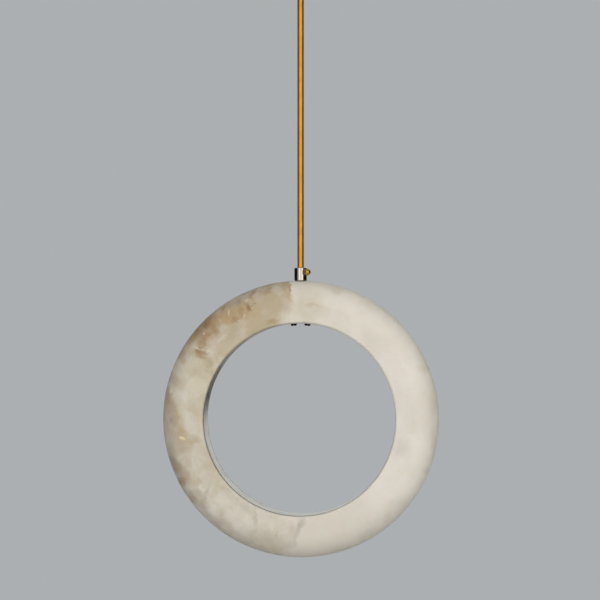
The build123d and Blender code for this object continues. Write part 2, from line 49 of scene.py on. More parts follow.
RING_CENTRE = Vector((0.0, 0.0, -0.517))
MM = 0.001
NODE_STEP = 200

Colour = tuple[float, float, float, float]
Spot = tuple[float, float, float]
Pair = tuple[float, float]
Socket = bpy.types.NodeSocket


class Tone(Enum):
    """Named colours, as 0-255 values of a colour picker."""

    MILK = (228, 221, 210)
    CREAM = (224, 217, 205)
    BRIGHT_CREAM = (209, 200, 178)
    SOFT_CREAM = (213, 206, 193)
    WARM_CREAM = (206, 198, 178)
    PALE = (200, 190, 167)
    BEIGE = (199, 192, 177)
    SAND = (186, 170, 142)
    TAN = (186, 171, 144)
    OCHRE = (181, 156, 120)
    OLIVE = (178, 166, 134)
    RUST = (164, 136, 100)
    DEEP_RUST = (149, 117, 82)
    RED_RUST = (146, 108, 84)
    BROWN = (177, 159, 134)
    DULL_BROWN = (159, 139, 114)
    ASH = (164, 156, 140)
    AMBER = (206, 184, 146)
    PINKISH = (196, 179, 162)
    ROSE = (197, 185, 168)
    LILAC = (180, 170, 156)
    GREY_BLUE = (186, 184, 170)
    VEIN_GREY = (184, 178, 164)
    HONEY = (238, 216, 172)
    CRYSTAL = (232, 226, 210)
    NICKEL = (205, 199, 188)
    BRASS = (205, 164, 92)
    HOOP = (214, 209, 196)
    ZINC = (190, 191, 190)
    GOLD_THREAD = (244, 176, 78)
    # dark red-brown painted into the braid's grooves as shade
    GROOVE_SHADE_RED = (96, 44, 10)
    NYLON = (224, 220, 208)
    FIBRE = (92, 78, 68)
    PLASTIC_WHITE = (228, 227, 222)
    FOAM = (214, 213, 207)
    BOARD_GREEN = (38, 88, 58)
    BOARD_COPPER = (120, 116, 62)
    TAPE_WHITE = (234, 234, 230)
    PHOSPHOR = (236, 206, 96)
    BLACK = (22, 22, 23)
    RED = (150, 26, 22)
    BROWN_WIRE = (92, 52, 28)
    GREEN_WIRE = (40, 118, 48)
    YELLOW_WIRE = (214, 190, 44)
    BLACKENED = (44, 40, 36)
    FLOOR = (214, 214, 212)
    BACKDROP = (172, 175, 177)

    def linear(self) -> Colour:
        """The colour as Blender's own linear values, by the sRGB curve, opaque."""
        parts = [v / 255 for v in self.value]
        return (*(v / 12.92 if v <= 0.04045 else ((v + 0.055) / 1.055) ** 2.4 for v in parts), 1.0)

    def dimmed(self, share: float) -> Colour:
        """The same colour with only a share of its light."""
        return (*(value * share for value in self.linear()[:3]), 1.0)


class Effect(Enum):
    """Shared node groups, by name."""

    CLOUD = "soft cloud"
    PATCH = "soft patch"
    GRAIN = "fine grain"
    STREAKS = "fine streaks"
    BRAID = "round braid"


# Node trees


class Sheet:
    """A node tree being laid out, with short calls for nodes and links."""

    def __init__(self, tree: bpy.types.NodeTree) -> None:
        """Starts on a tree and empties it."""
        self.tree = tree
        tree.nodes.clear()

    def add(self, kind: str, feed: dict[int, object] | None = None, **settings: object) -> bpy.types.Node:
        """Adds a node and sets its properties and inputs.

        Args:
            kind: the node's type, such as ShaderNodeMath.
            feed: input values by the input's index.
            settings: properties of the node by name, or input values by socket name with _ for a space.

        Returns:
            The new node.
        """
        node = self.tree.nodes.new(kind)
        node.location = (NODE_STEP * len(self.tree.nodes), 0)
        self.set(node, settings)
        for index, value in (feed or {}).items():
            self.put(node.inputs[index], value)
        return node

    def set(self, node: bpy.types.Node, settings: dict[str, object]) -> None:
        """Sets a node's properties and inputs.

        Args:
            node: the node.
            settings: properties of the node by name, or input values by socket name with _ for a space.
        """
        for name, value in settings.items():
            socket = node.inputs.get(name.replace("_", " ").title())
            if socket is None:
                setattr(node, name, value)
            else:
                self.put(socket, value)

    def put(self, socket: Socket, value: object) -> None:
        """Links an output to an input, or sets the input's own value.

        Args:
            socket: the input.
            value: an output, a number, a vector, a colour or a Tone, or None to leave the input as it is.
        """
        if isinstance(value, Socket):
            self.tree.links.new(value, socket)
        elif value is not None:
            socket.default_value = value.linear() if isinstance(value, Tone) else value

    def maths(self, operation: str, a: object, b: object = 0.0) -> Socket:
        """A Math node's result from two numbers."""
        return self.add("ShaderNodeMath", {0: a, 1: b}, operation=operation).outputs[0]

    def times(self, a: object, b: object) -> Socket:
        """Two numbers multiplied."""
        return self.maths("MULTIPLY", a, b)

    def vector(self, operation: str, a: object, b: object = None) -> Socket:
        """A Vector Math node's result: a number for LENGTH, a vector for the rest."""
        node = self.add("ShaderNodeVectorMath", {0: a, 1: b}, operation=operation)
        return node.outputs["Value" if operation == "LENGTH" else "Vector"]

    def ramp(self, value: object, low: object, high: object, out_low: object = 0.0,
             out_high: object = 1.0) -> Socket:
        """A smooth step from out_low to out_high while the value goes from low to high."""
        feed = dict(enumerate((value, low, high, out_low, out_high)))
        return self.add("ShaderNodeMapRange", feed, interpolation_type="SMOOTHSTEP").outputs[0]

    def mix(self, mask: object, a: object, b: object, kind: str = "MIX") -> Socket:
        """Two colours mixed by a mask: 0 for the first, 1 for the second."""
        feed = {0: mask, 6: a, 7: b}
        return self.add("ShaderNodeMix", feed, data_type="RGBA", blend_type=kind).outputs[2]

    def darkened(self, colour: object, shade: object, least: float) -> Socket:
        """A colour with a share of its light: the least share where the shade is 0, all of it at 1."""
        light = self.mix(shade, (least, least, least, 1), (1, 1, 1, 1))
        return self.mix(1.0, colour, light, "MULTIPLY")

    def blend(self, mask: object, a: Socket, b: Socket) -> Socket:
        """Two shaders mixed by a mask: 0 for the first, 1 for the second."""
        return self.add("ShaderNodeMixShader", {0: mask, 1: a, 2: b}).outputs[0]

    def noise(self, position: object, scale: object, detail: object = 3.0, roughness: float = 0.5,
              distortion: float = 0.0) -> bpy.types.NodeOutputs:
        """A Noise Texture's number and colour on a position, with its scale in waves a metre."""
        return self.add("ShaderNodeTexNoise", vector=position, scale=scale, detail=detail,
                        roughness=roughness, distortion=distortion).outputs

    def place(self, kind: str = "Object") -> Socket:
        """The object's own coordinates, in metres, or another kind of coordinates."""
        return self.add("ShaderNodeTexCoord").outputs[kind]

    def axes(self, vector: Socket) -> bpy.types.NodeOutputs:
        """A vector's three numbers."""
        return self.add("ShaderNodeSeparateXYZ", vector=vector).outputs

    def bump(self, height: object, depth: float, strength: float = 1.0, normal: object = None) -> Socket:
        """A normal bent by a height from 0 to 1, a depth in metres and a strength."""
        return self.add("ShaderNodeBump", strength=strength, distance=depth, height=height,
                        normal=normal).outputs[0]


def open_sheet(owner: bpy.types.Material | bpy.types.World) -> Sheet:
    """Starts on the empty node tree of a material or a world."""
    owner.use_nodes = True
    return Sheet(owner.node_tree)


class SharedEffects:
    """The shared node groups, each built once. They put out masks, shades and heights."""

    def __init__(self) -> None:
        """Builds every group."""
        self.trees: dict[Effect, bpy.types.NodeTree] = {}
        for draw in (self._cloud, self._patch, self._grain, self._streaks, self._braid):
            draw()

    def _open(self, effect: Effect, inputs: dict[str, object],
              *outputs: str) -> tuple[Sheet, bpy.types.NodeOutputs, bpy.types.NodeInputs]:
        """Starts a group and keeps it.

        Args:
            effect: which one it is.
            inputs: the default of each input: a number, a vector, or None for a vector without one.
            outputs: the name of each output, which is a number.

        Returns:
            The group's sheet, what it is given and what it puts out.
        """
        tree = self.trees[effect] = bpy.data.node_groups.new(effect.value, "ShaderNodeTree")
        for label, default in inputs.items():
            kind = "NodeSocketFloat" if isinstance(default, float) else "NodeSocketVector"
            socket = tree.interface.new_socket(name=label, in_out="INPUT", socket_type=kind)
            if default is not None:
                socket.default_value = default
        for label in outputs:
            tree.interface.new_socket(name=label, in_out="OUTPUT", socket_type="NodeSocketFloat")
        sheet = Sheet(tree)
        return sheet, sheet.add("NodeGroupInput").outputs, sheet.add("NodeGroupOutput").inputs

    def _cloud(self) -> None:
        """A soft mask of noise between two levels."""
        inputs = {"Position": None, "Scale": 20.0, "Low": 0.45, "High": 0.6, "Detail": 3.0}
        sheet, given, out = self._open(Effect.CLOUD, inputs, "Mask")
        noise = sheet.noise(given["Position"], given["Scale"], given["Detail"])
        sheet.put(out[0], sheet.ramp(noise[0], given["Low"], given["High"]))

    def _patch(self) -> None:
        """A soft oval mask round a point, turned about Y."""
        inputs = {"Position": None, "Centre": None, "Size": None, "Turn": 0.0, "Soft": 0.5, "Strength": 1.0}
        sheet, given, out = self._open(Effect.PATCH, inputs, "Mask")
        away = sheet.vector("SUBTRACT", given["Position"], given["Centre"])
        turned = sheet.add("ShaderNodeVectorRotate", rotation_type="Y_AXIS", vector=away,
                           angle=given["Turn"]).outputs[0]
        reach = sheet.vector("LENGTH", sheet.vector("DIVIDE", turned, given["Size"]))
        near, far = (sheet.maths(way, 1.0, given["Soft"]) for way in ("SUBTRACT", "ADD"))
        inside = sheet.maths("SUBTRACT", 1.0, sheet.ramp(reach, near, far))
        sheet.put(out[0], sheet.times(inside, given["Strength"]))

    def _grain(self) -> None:
        """Fine uneven grain: a height and a slow change of shade."""
        inputs = {"Position": None, "Scale": 900.0, "Slow": 60.0}
        sheet, given, out = self._open(Effect.GRAIN, inputs, "Height", "Shade")
        fine, slow = (sheet.noise(given["Position"], given[scale], detail=2.0)[0]
                      for scale in ("Scale", "Slow"))
        sheet.put(out[0], fine)
        sheet.put(out[1], sheet.ramp(slow, low=0.3, high=0.7))

    def _streaks(self) -> None:
        """Fine parallel scratches, drawn out along the short axis of the stretch."""
        inputs = {"Position": None, "Stretch": None}
        sheet, given, out = self._open(Effect.STREAKS, inputs, "Height", "Shade")
        drawn = sheet.vector("MULTIPLY", given["Position"], given["Stretch"])
        lines = sheet.noise(drawn, scale=1.0, detail=3.0, roughness=0.6)[0]
        sheet.put(out[0], lines)
        sheet.put(out[1], sheet.ramp(lines, low=0.35, high=0.65))

    def _braid(self) -> None:
        """A round braid: two sets of strands that cross, on a map of turns and pitches."""
        inputs = {"Position": None, "Strands": 12.0}
        sheet, given, out = self._open(Effect.BRAID, inputs, "Height", "Groove")
        parts = sheet.axes(given["Position"])
        round_way = sheet.times(parts[0], given["Strands"])
        waves = []
        for operation in ("ADD", "SUBTRACT"):
            slant = sheet.maths(operation, round_way, parts[1])
            waves.append(sheet.maths("ABSOLUTE", sheet.maths("SINE", sheet.times(slant, math.tau))))
        height = sheet.times(*waves)
        sheet.put(out[0], sheet.maths("POWER", height, 0.5))
        sheet.put(out[1], sheet.ramp(height, low=0.0, high=0.35, out_low=1.0, out_high=0.0))


class Paint(Sheet):
    """The nodes of a material with one Principled shader, and the shared effects."""

    def __init__(self, material: bpy.types.Material, effects: SharedEffects) -> None:
        """Starts with the shader and its output.

        Args:
            material: the new material.
            effects: the shared node groups.
        """
        material.use_nodes = True
        super().__init__(material.node_tree)
        self.effects = effects
        self.shader = self.add("ShaderNodeBsdfPrincipled")
        self.add("ShaderNodeOutputMaterial", surface=self.shader.outputs[0])

    def surface(self, **inputs: object) -> None:
        """Sets the shader's inputs, by name with _ for a space."""
        self.set(self.shader, inputs)

    def effect(self, effect: Effect, **inputs: object) -> bpy.types.NodeOutputs:
        """What a shared effect puts out for its inputs, by name with _ for a space."""
        return self.add("ShaderNodeGroup", node_tree=self.effects.trees[effect], **inputs).outputs

    def grain(self, position: object, scale: float, slow: float = 60.0) -> tuple[Socket, Socket]:
        """The height and the shade of grain, by grains a metre and slow changes a metre."""
        grain = self.effect(Effect.GRAIN, position=position, scale=scale, slow=slow)
        return grain["Height"], grain["Shade"]

    def streaks(self, position: object, stretch: Spot) -> tuple[Socket, Socket]:
        """The height and the shade of streaks, by lines a metre along each axis."""
        lines = self.effect(Effect.STREAKS, position=position, stretch=stretch)
        return lines["Height"], lines["Shade"]

    def cloud(self, position: object, scale: float, low: float, high: float, detail: float = 3.0) -> Socket:
        """A cloudy mask, by clouds a metre and the noise's levels for 0 and 1."""
        return self.effect(Effect.CLOUD, position=position, scale=scale, low=low, high=high,
                           detail=detail)[0]

    def tinted(self, colour: object, mask: object, share: object, tone: Tone) -> Socket:
        """A colour mixed towards a tone by a share of a mask."""
        return self.mix(self.times(mask, share), colour, tone)

    def line(self, noise: Socket, width: float, peak: float) -> Socket:
        """A thin mask where noise crosses one half, with its width in noise and its peak value."""
        off = self.maths("ABSOLUTE", self.maths("SUBTRACT", noise, 0.5))
        return self.ramp(off, 0.0, width, peak, 0)


# Finishes


@dataclass(frozen=True)
class Finish:
    """A material with one Principled shader. The plain one is moulded, with an even grain.

    The scale is in grains a metre and the depth in millimetres. The spread is how much colour and
    roughness change, as a share.
    """

    name: str
    colour: Tone = Tone.PLASTIC_WHITE
    roughness: float = 0.5
    metallic: float = 0.0
    scale: float = 1400.0
    depth: float = 0.02
    spread: float = 0.05

    def build(self, effects: SharedEffects) -> bpy.types.Material:
        """Builds the material.

        Args:
            effects: the shared node groups.

        Returns:
            The new material.
        """
        material = bpy.data.materials.new(self.name)
        paint = Paint(material, effects)
        paint.surface(base_color=self.colour, roughness=self.roughness, metallic=self.metallic)
        self.draw(paint)
        return material

    def draw(self, paint: Paint) -> None:
        """Draws the surface's own detail.

        Args:
            paint: the material's nodes.
        """
        height, shade = paint.grain(paint.place(), self.scale)
        self.vary(paint, shade, (1 - self.spread, 1.0), (1 + self.spread, 1 - self.spread))
        paint.surface(normal=paint.bump(height, self.depth * MM))

    def vary(self, paint: Paint, shade: Socket, light: Pair, rough: Pair) -> None:
        """Lets colour and roughness follow a shade.

        Args:
            paint: the material's nodes.
            shade: a number from 0 to 1.
            light: the colour's share of light at 0 and at 1.
            rough: the share of the roughness at 0 and at 1.
        """
        colour = paint.mix(shade, *(self.colour.dimmed(share) for share in light))
        roughness = paint.ramp(shade, 0, 1, *(self.roughness * share for share in rough))
        paint.surface(base_color=colour, roughness=roughness)


@dataclass(frozen=True)
class StonePatch:
    """One soft patch in the stone.

    The place is in millimetres from the ring's centre: to the right, back from the middle and up, after
    the stone's bends. The size is half its width, depth and height. The patch is turned anticlockwise, in
    degrees, seen from the front. Later patches lie over earlier ones.
    """

    place: Spot
    size: Spot
    tone: Tone
    turn: float
    soft: float
    strength: float


STONE_PATCHES = tuple(StonePatch(*row) for row in (
    # top left: tan field, lilac and brown clouds along the outer edge
    ((-62, -14, 129.5), (11, 26, 4.5), Tone.DULL_BROWN, 27, 0.5, 0.9),
    ((-56, -13, 136), (7, 22, 3), Tone.ASH, 28, 0.6, 0.7),
    ((-75.5, -16, 124), (6, 22, 4), Tone.ASH, 40, 0.6, 0.85),
    ((-36.5, -12, 138.5), (8, 26, 3.6), Tone.DULL_BROWN, 15, 0.5, 0.85),
    ((-24, -14, 143), (5, 22, 5), Tone.ROSE, 10, 0.6, 0.8),
    ((-13.5, -14, 145), (4, 24, 4), Tone.BROWN, 0, 0.5, 0.95),
    ((-36, -8, 146), (9, 18, 2), Tone.RED_RUST, 15, 0.6, 0.9),
    ((-49, -10, 137.5), (2.8, 18, 4.5), Tone.RED_RUST, -5, 0.5, 0.8),
    ((-51, -16, 134), (2, 18, 5), Tone.RUST, 0, 0.7, 0.75),
    ((-43, -20, 132.5), (5, 18, 6), Tone.PINKISH, 20, 0.7, 0.6),
    ((-54.5, -22, 117), (10, 22, 9), Tone.OCHRE, -8, 0.6, 0.85),
    ((-55.5, -23, 122.5), (2.8, 20, 4.4), Tone.DEEP_RUST, -6, 0.7, 0.9),
    ((-63.5, -22, 118), (1.7, 16, 5), Tone.RUST, 6, 0.6, 0.9),
    ((-48.5, -23, 124), (1.8, 14, 1.1), Tone.DEEP_RUST, 20, 0.7, 0.85),
    ((-33, -22, 123), (9, 20, 9), Tone.OLIVE, 0, 0.7, 0.2),
    ((-13.5, -22, 122.5), (4.5, 22, 8), Tone.PINKISH, 4, 0.8, 0.9),
    ((-20.5, -21, 136.5), (5, 20, 3.4), Tone.ROSE, 0, 0.8, 0.7),
    ((-16, -23, 109), (9, 26, 5), Tone.WARM_CREAM, -6, 0.9, 0.5),
    ((-29, -26, 106.5), (6, 10, 2), Tone.RUST, 14, 0.7, 0.6),
    ((-46.5, -25, 96.5), (9, 20, 2.6), Tone.OLIVE, 26, 0.6, 0.7),
    # the line where the tan ends
    ((-9, -14, 140), (1.2, 34, 5.6), Tone.RUST, 0, 0.6, 0.95),
    ((-10, -16, 132), (1.2, 34, 4), Tone.OCHRE, 18, 0.7, 0.9),
    ((-10, -20, 125.5), (2.6, 26, 3), Tone.SAND, 20, 0.9, 0.5),
    # rust band
    ((-80.5, -16, 112), (15, 24, 9), Tone.OCHRE, 34, 0.6, 0.8),
    ((-106, -10, 101.5), (22, 30, 6), Tone.RUST, 48, 0.7, 0.65),
    ((-90, -14, 116), (7, 20, 4), Tone.PINKISH, 40, 0.6, 0.3),
    ((-84, -13, 118.5), (3, 18, 2), Tone.RED_RUST, 40, 0.8, 0.5),
    ((-78, -18, 110), (14, 26, 5.4), Tone.OCHRE, 16, 0.4, 0.9),
    ((-68, -20, 108.5), (6, 18, 2), Tone.RUST, 28, 0.6, 0.75),
    ((-66.5, -19, 117.5), (6, 20, 4), Tone.OCHRE, 20, 0.8, 0.4),
    ((-98.5, -15, 106), (9, 26, 5), Tone.DEEP_RUST, 45, 0.8, 0.6),
    ((-95.5, -18, 92.5), (13, 24, 7), Tone.RUST, 65, 0.6, 0.9),
    ((-107.5, -14, 94.5), (6, 24, 4), Tone.DEEP_RUST, 45, 0.8, 0.7),
    ((-104, -17, 84), (8, 20, 5), Tone.RUST, 80, 0.6, 0.8),
    ((-91, -19, 93), (5, 20, 2.6), Tone.RED_RUST, 62, 0.6, 0.4),
    ((-85.5, -21, 98.5), (2.2, 16, 1.6), Tone.DEEP_RUST, 0, 0.6, 0.6),
    ((-100, -18, 103), (3, 16, 2.4), Tone.RED_RUST, 20, 0.8, 0.7),
    ((-115, -11, 86), (8, 24, 4), Tone.RUST, 56, 0.5, 0.65),
    ((-104, -18, 76.5), (4, 14, 0.9), Tone.DEEP_RUST, 0, 0.6, 0.85),
    ((-101.5, -19, 84.5), (0.8, 14, 5), Tone.DEEP_RUST, 8, 0.7, 0.6),
    # under the rust band
    ((-91.5, -22, 83.5), (7, 20, 7), Tone.PINKISH, 46, 0.5, 0.85),
    ((-82, -23, 98), (7, 20, 5), Tone.ROSE, 40, 0.6, 0.85),
    ((-71, -24, 93.5), (8, 18, 5), Tone.LILAC, 35, 0.6, 0.4),
    ((-83, -25, 87.5), (8, 10, 1.6), Tone.CREAM, 49, 0.7, 0.4),
    ((-87.5, -23, 68), (9, 20, 6), Tone.SAND, 45, 0.6, 0.9),
    ((-96.5, -22, 65.5), (6, 20, 4), Tone.PINKISH, 20, 0.6, 0.7),
    # the fold and the vein across the ring
    ((-120.5, -14, 75.5), (9, 24, 5), Tone.SAND, -18, 0.7, 0.6),
    ((-111, -18, 70.5), (5, 22, 5), Tone.TAN, 0, 0.6, 0.7),
    ((-109.5, -19, 76.5), (9, 22, 1.2), Tone.PALE, -24, 0.7, 0.7),
    ((-126.5, -12, 69.5), (5, 24, 9), Tone.BROWN, 28, 0.5, 0.8),
    ((-104, -22, 66.5), (2.6, 20, 8), Tone.RUST, 42, 0.7, 0.8),
    ((-104, -20, 71.5), (5, 16, 2.2), Tone.DEEP_RUST, 0, 0.7, 0.95),
    ((-93, -23, 70), (0.9, 12, 2.6), Tone.DEEP_RUST, 20, 0.7, 0.8),
    ((-97, -23, 57), (4.2, 20, 9), Tone.OLIVE, 12, 0.6, 1.0),
    ((-106.5, -22, 61.5), (4, 20, 5), Tone.ROSE, 0, 0.6, 0.7),
    # left: pale field, brown edge and its ochre rim
    ((-111, -22, 57), (12, 26, 8), Tone.PALE, 12, 0.4, 0.8),
    ((-106.5, -24, 38), (9, 26, 9), Tone.BRIGHT_CREAM, 40, 0.5, 0.8),
    ((-113, -22, 23), (9, 26, 12), Tone.BRIGHT_CREAM, 0, 0.6, 0.55),
    ((-128.5, -18, 38.5), (3, 24, 8), Tone.ROSE, 12, 0.6, 0.5),
    ((-115, -22, 47.5), (2, 20, 9), Tone.SAND, -50, 0.7, 0.35),
    ((-135, -10, 42.5), (5, 24, 9), Tone.BROWN, 14, 0.6, 0.6),
    ((-139, -8, 1.5), (9, 34, 24), Tone.BROWN, 2, 0.4, 0.65),
    ((-136, -12, 7.5), (6.5, 26, 14), Tone.BROWN, 2, 0.3, 0.6),
    ((-142, -8, 25.5), (4.5, 22, 8), Tone.RUST, 4, 0.8, 0.6),
    ((-128, -17, -1.5), (2.2, 24, 13), Tone.AMBER, 2, 0.6, 0.5),
    ((-139.5, -10, -1), (3, 20, 2.6), Tone.RED_RUST, 0, 0.7, 0.25),
    ((-129, -14, -20.5), (9, 26, 9), Tone.BROWN, -24, 0.4, 0.7),
    ((-127, -18, -11.5), (4.2, 22, 6.5), Tone.OCHRE, 40, 0.8, 0.75),
    ((-124, -17, -32), (7, 20, 5), Tone.BROWN, 10, 0.8, 0.75),
    ((-116.5, -22, -21.5), (10, 24, 5.5), Tone.SAND, -8, 0.8, 0.8),
    ((-125.5, -23, -20.5), (1.8, 9, 1.6), Tone.HONEY, 0, 0.8, 0.8),
    ((-137.5, -10, -33), (5, 26, 9), Tone.ASH, 12, 0.6, 0.5),
    ((-134.5, -10, -49), (5.5, 30, 10), Tone.DULL_BROWN, 22, 0.5, 0.8),
    ((-126, -15, -58.5), (6, 26, 11), Tone.BROWN, 26, 0.5, 0.65),
    ((-130, -7, -74), (4, 20, 9), Tone.OLIVE, 30, 0.6, 0.8),
    ((-126.5, -10, -67), (4.5, 20, 4), Tone.RUST, 30, 0.5, 0.7),
    ((-110, -22, -44), (8, 20, 9), Tone.SOFT_CREAM, -10, 0.6, 0.75),
    ((-120, -20, -45.5), (3, 18, 7), Tone.PINKISH, 6, 0.6, 0.6),
    ((-117, -16, -70), (4, 12, 2.4), Tone.AMBER, 0, 0.7, 0.5),
    # lower left: grey vein between pale clouds
    ((-98, -22, -60), (9, 24, 9), Tone.SOFT_CREAM, 20, 0.6, 0.5),
    ((-110, -18, -80), (5, 20, 5), Tone.ROSE, 0, 0.6, 0.7),
    ((-105.5, -21, -73), (3, 16, 4), Tone.CREAM, 16, 0.7, 0.6),
    ((-99.5, -21, -78), (1.8, 20, 8), Tone.GREY_BLUE, -10, 0.6, 0.8),
    ((-103.5, -18, -90), (3.4, 24, 7), Tone.VEIN_GREY, -14, 0.7, 0.6),
    ((-98.5, -14, -101.5), (8, 24, 4), Tone.ASH, -44, 0.7, 0.4),
    ((-116.5, -12, -84), (7, 24, 4), Tone.DULL_BROWN, -52, 0.7, 0.5),
    ((-95.5, -22, -95.5), (4.4, 20, 10), Tone.CREAM, 12, 0.6, 0.7),
    ((-84.5, -16, -113.5), (13, 26, 5), Tone.BROWN, -32, 0.7, 0.4),
    ((-75.5, -14, -121.5), (9, 24, 3.4), Tone.SOFT_CREAM, -30, 0.8, 0.7),
    ((-83, -22, -103), (4, 20, 5), Tone.BEIGE, 30, 0.7, 0.6),
    # bottom: pale clouds on grey, and the slanted vein
    ((-46.5, -22, -106.5), (1.8, 24, 11), Tone.VEIN_GREY, 0, 0.7, 0.5),
    ((-58.5, -24, -94), (4, 16, 4), Tone.VEIN_GREY, 30, 0.7, 0.4),
    ((-55, -24, -107), (4.4, 18, 5.4), Tone.CREAM, 0, 0.6, 0.65),
    ((-33, -23, -114.5), (8, 20, 7), Tone.CREAM, -20, 0.6, 0.6),
    ((-30, -18, -129.5), (17, 24, 5), Tone.VEIN_GREY, 8, 0.8, 0.35),
    ((-21, -20, -124.5), (2.6, 16, 3), Tone.SOFT_CREAM, 0, 0.6, 0.6),
    ((-24, -20, -124.5), (1.2, 14, 1.4), Tone.ASH, 20, 0.7, 0.7),
    ((-41, -12, -138), (6, 20, 3), Tone.LILAC, -14, 0.8, 0.4),
    ((-51.5, -14, -131), (5, 20, 3), Tone.GREY_BLUE, -24, 0.6, 0.5),
    ((-21.5, -12, -137.5), (9, 20, 3), Tone.ROSE, -8, 0.6, 0.4),
    ((-8, -20, -118.5), (5, 18, 8), Tone.ROSE, -14, 0.6, 0.6),
    ((4, -23, -111), (4.5, 20, 2.6), Tone.VEIN_GREY, 42, 0.8, 0.5),
    ((1, -22, -114), (2.2, 24, 6), Tone.VEIN_GREY, -12, 0.8, 0.75),
    ((-3.5, -19, -124.5), (2.6, 28, 8), Tone.VEIN_GREY, -18, 0.8, 0.5),
    ((-12, -13, -134), (6, 24, 4.5), Tone.VEIN_GREY, 30, 0.8, 0.5),
    # top right and right: warm clouds on cream
    ((9, -20, 122.5), (17, 34, 18), Tone.WARM_CREAM, 0, 0.6, 0.9),
    ((8, -22, 137), (12, 20, 4), Tone.SOFT_CREAM, 0, 0.7, 0.6),
    ((11.5, -23, 118), (4, 16, 4), Tone.SOFT_CREAM, 0, 0.7, 0.6),
    ((15.5, -23, 123.5), (6, 14, 1.8), Tone.SAND, 0, 0.7, 0.45),
    ((37, -12, 141.5), (13, 22, 4), Tone.BEIGE, -16, 0.8, 0.4),
    ((40.5, -14, 138), (4, 16, 4), Tone.BEIGE, 20, 0.9, 0.5),
    ((78, -14, 122.5), (13, 22, 4.5), Tone.SOFT_CREAM, -34, 0.8, 0.5),
    ((133, -8, 54.5), (5, 20, 5), Tone.WARM_CREAM, -66, 0.8, 0.5),
    ((130, -10, 65.5), (10, 24, 4), Tone.SOFT_CREAM, -62, 0.8, 0.5),
    ((142.5, -6, 15.5), (4, 24, 14), Tone.WARM_CREAM, 0, 0.8, 0.5),
    ((111, -22, -29.5), (9, 22, 8), Tone.VEIN_GREY, 12, 0.8, 0.32),
    ((108, -26, 2), (3.2, 5, 0.5), Tone.MILK, 0, 0.6, 0.8),
    ((145, -6, -23.5), (3, 20, 12), Tone.ROSE, 0, 0.8, 0.3),
    ((135.5, -8, -55), (3, 20, 4), Tone.ROSE, 20, 0.8, 0.4),
    ((111.5, -12, -91), (9, 20, 5), Tone.SOFT_CREAM, 42, 0.8, 0.5),
    ((94.5, -13, -104), (5, 20, 4), Tone.ROSE, 40, 0.8, 0.35),
    ((71, -13, -122.5), (11, 22, 4), Tone.BEIGE, 30, 0.8, 0.45),
    ((41, -10, -141), (13, 22, 4), Tone.BEIGE, 14, 0.8, 0.4),
    # the back
    ((60, 20, 116), (34, 18, 8), Tone.LILAC, -30, 0.5, 0.6),
    ((72, 22, 100), (16, 14, 4), Tone.SAND, -34, 0.5, 0.6),
    ((102, 20, -76), (20, 18, 8), Tone.BEIGE, 48, 0.6, 0.7),
    ((-42, 18, 124), (30, 18, 8), Tone.BROWN, 20, 0.4, 0.8),
    ((-30, 20, 116), (13, 14, 4), Tone.RUST, 16, 0.5, 0.6),
    ((-114, 20, -50), (9, 18, 26), Tone.SAND, 24, 0.5, 0.7),
    ((30, 20, -126), (2, 24, 16), Tone.VEIN_GREY, 20, 0.6, 0.85),
    # short white cracks on the left
    ((-75, -22, 116), (0.5, 9, 3), Tone.CRYSTAL, 22, 0.6, 0.65),
    ((-78.5, -22, 119), (1.8, 9, 0.45), Tone.CRYSTAL, -30, 0.6, 0.5),
    ((-71.5, -22, 128.5), (0.45, 9, 2.8), Tone.CRYSTAL, -8, 0.6, 0.55),
    ((-54.5, -24, 128.5), (0.5, 9, 2.6), Tone.CRYSTAL, -50, 0.6, 0.6),
    ((-49.5, -24, 122.5), (2.2, 9, 0.5), Tone.CRYSTAL, 30, 0.6, 0.6),
    ((-60.5, -24, 112.5), (0.4, 7, 2.2), Tone.CRYSTAL, 0, 0.6, 0.4),
    ((-85, -21, 108), (0.6, 9, 0.9), Tone.CRYSTAL, 0, 0.6, 0.6),
    ((-96.5, -18, 110), (0.5, 9, 1.2), Tone.CRYSTAL, 0, 0.6, 0.5),
    ((-100.5, -19, 93), (0.7, 9, 2), Tone.CRYSTAL, -20, 0.6, 0.75),
    ((-109, -17, 76), (0.6, 9, 3.4), Tone.CRYSTAL, 40, 0.6, 0.45),
    ((-104, -19, 75), (5, 9, 0.6), Tone.PALE, 0, 0.7, 0.4),
    ((-19.5, -21, 136), (1.6, 9, 0.5), Tone.CRYSTAL, 20, 0.6, 0.5),
    ((-138.5, -12, 32), (1.5, 7, 1.5), Tone.CRYSTAL, 0, 0.5, 0.9),
    ((-137, -12, 34.5), (0.5, 7, 2.4), Tone.CRYSTAL, -10, 0.6, 0.6),
    ((-116.5, -23, -12.5), (2.6, 9, 0.5), Tone.CRYSTAL, 24, 0.6, 0.4),
))


